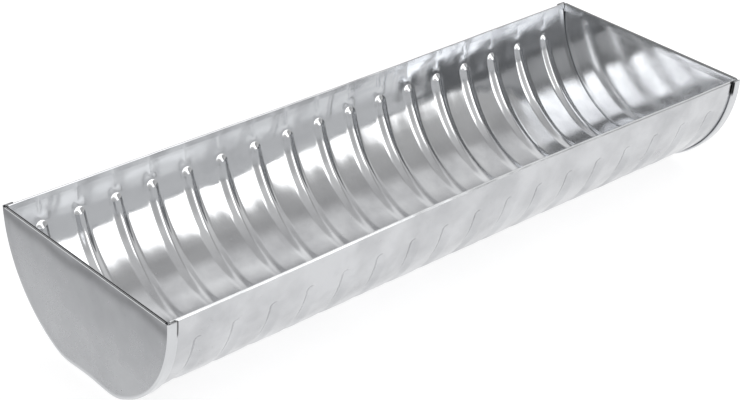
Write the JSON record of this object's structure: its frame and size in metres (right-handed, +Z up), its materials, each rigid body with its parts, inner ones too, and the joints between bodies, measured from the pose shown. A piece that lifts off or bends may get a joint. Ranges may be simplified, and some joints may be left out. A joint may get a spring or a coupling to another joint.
{
  "type": "trough feeder",
  "caption": "Open half-round galvanised trough feeder for poultry, with cross ribs, hemmed rims and seamed D-shaped end caps.",
  "frame": {"origin": "on the ground, under the middle of the trough", "axes": "+X along the trough, +Y across it, +Z up, out of its open top"},
  "size_m": [0.5, 0.1742, 0.0831],
  "materials": {
    "galvanised_body": "bright, mirror-like galvanised sheet with soft dents",
    "galvanised_cap": "satin galvanised sheet"
  },
  "bodies": {
    "root": {"trough_body": "galvanised_body", "left_end_cap": "galvanised_cap", "right_end_cap": "galvanised_cap"}
  },
  "joints": []
}
